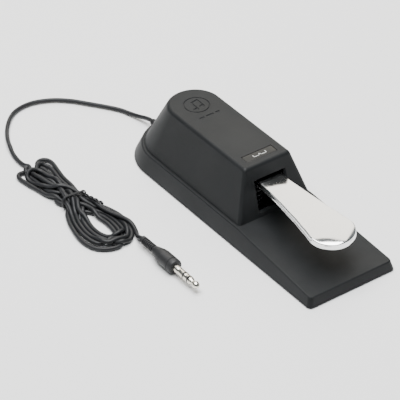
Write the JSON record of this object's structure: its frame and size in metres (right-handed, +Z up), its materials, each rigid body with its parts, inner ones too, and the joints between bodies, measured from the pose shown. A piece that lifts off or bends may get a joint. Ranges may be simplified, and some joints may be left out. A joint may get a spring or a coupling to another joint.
{
  "type": "sustain pedal",
  "caption": "Piano-style foot pedal with a chrome lever in a moulded housing on a long sloping base, with its cord tied in a hank and ending in a quarter-inch stereo plug.",
  "frame": {"origin": "on the floor under the middle of the base's bounding box, measured without the cord and what is on it", "axes": "+Z up, -Y towards the player's foot with the lever pointing that way, +X to the player's right; the cord leaves at +Y"},
  "size_m": [0.186, 0.3719, 0.061],
  "materials": {
    "black_plastic": "fine-grained charcoal ABS moulding",
    "label_plastic": "smooth dark plate with a light printed pedal mark",
    "chrome": "polished chrome plate",
    "zinc_steel": "zinc-plated sheet steel",
    "screw_steel": "zinc-plated screws",
    "dark_steel": "dark phosphated steel",
    "black_rubber": "matt black rubber",
    "white_nylon": "natural nylon",
    "switch_plastic": "black moulded plastic",
    "red_plastic": "red plastic and wire insulation",
    "white_pvc": "white wire insulation",
    "brass": "brass",
    "nickel": "warm nickel plate",
    "cord_pvc": "satin black PVC jacket",
    "plug_pvc": "satin black moulded PVC"
  },
  "bodies": {
    "base": {"upper_cover": "black_plastic", "label_plate": "label_plastic", "bottom_plate": "zinc_steel", "rest_stop_pin": "zinc_steel", "down_stop_pin": "zinc_steel", "switch_bracket": "zinc_steel", "cover_screw_1": "screw_steel", "cover_screw_2": "screw_steel", "cover_screw_3": "screw_steel", "cover_screw_4": "screw_steel", "cover_screw_5": "screw_steel", "cover_screw_6": "screw_steel", "chassis_screw_1": "screw_steel", "chassis_screw_2": "screw_steel", "chassis_screw_3": "screw_steel", "chassis_screw_4": "screw_steel", "switch_screw_front": "screw_steel", "switch_screw_rear": "screw_steel", "clamp_screw_left": "screw_steel", "clamp_screw_right": "screw_steel", "chassis_bracket": "dark_steel", "return_spring": "dark_steel", "pivot_shaft": "dark_steel", "shaft_clip_left": "dark_steel", "shaft_clip_right": "dark_steel", "rubber_mat": "black_rubber", "rest_stop_sleeve": "black_rubber", "down_stop_sleeve": "black_rubber", "cord_grommet": "black_rubber", "lever_guide_left": "white_nylon", "lever_guide_right": "white_nylon", "switch_body": "switch_plastic", "cord_clamp": "switch_plastic", "spring_seat": "switch_plastic", "lead_red": "red_plastic", "lead_white": "white_pvc", "terminal_lower": "brass", "terminal_upper": "brass", "plug_sleeve": "nickel", "plug_ring": "nickel", "plug_tip": "nickel", "cord": "cord_pvc", "cord_hank": "cord_pvc", "cord_tail": "cord_pvc", "hank_tie": "cord_pvc", "plug_boot": "plug_pvc", "plug_insulator_rear": "plug_pvc", "plug_insulator_front": "plug_pvc"},
    "pedal": {"pedal_lever": "chrome", "bush_left": "white_nylon", "bush_right": "white_nylon", "spring_cap": "switch_plastic"},
    "switch_strip": {"switch_strip": "nickel"},
    "switch_plunger": {"switch_plunger": "red_plastic"}
  },
  "joints": [
    {"name": "pedal_hinge", "type": "hinge", "parent": "base", "child": "pedal", "pos_m": [0, 0.022, 0.04], "axis": [1, 0, 0], "range_deg": [0, 8], "stiffness_Nm_per_rad": 4.5, "springref_deg": -11.46, "deforming": ["return_spring"]},
    {"name": "switch_strip_hinge", "type": "hinge", "parent": "base", "child": "switch_strip", "pos_m": [0, 0.034, 0.0316], "axis": [1, 0, 0], "range_deg": [0, 13]},
    {"name": "switch_plunger_slide", "type": "slide", "parent": "base", "child": "switch_plunger", "axis": [0, 0, 1], "range_m": [0, 0.0013]}
  ],
  "couplings": [
    {"joint": "switch_strip_hinge", "follows": "pedal_hinge", "ratio": 1.5},
    {"joint": "switch_plunger_slide", "follows": "pedal_hinge", "m_per_rad": 0.008}
  ]
}
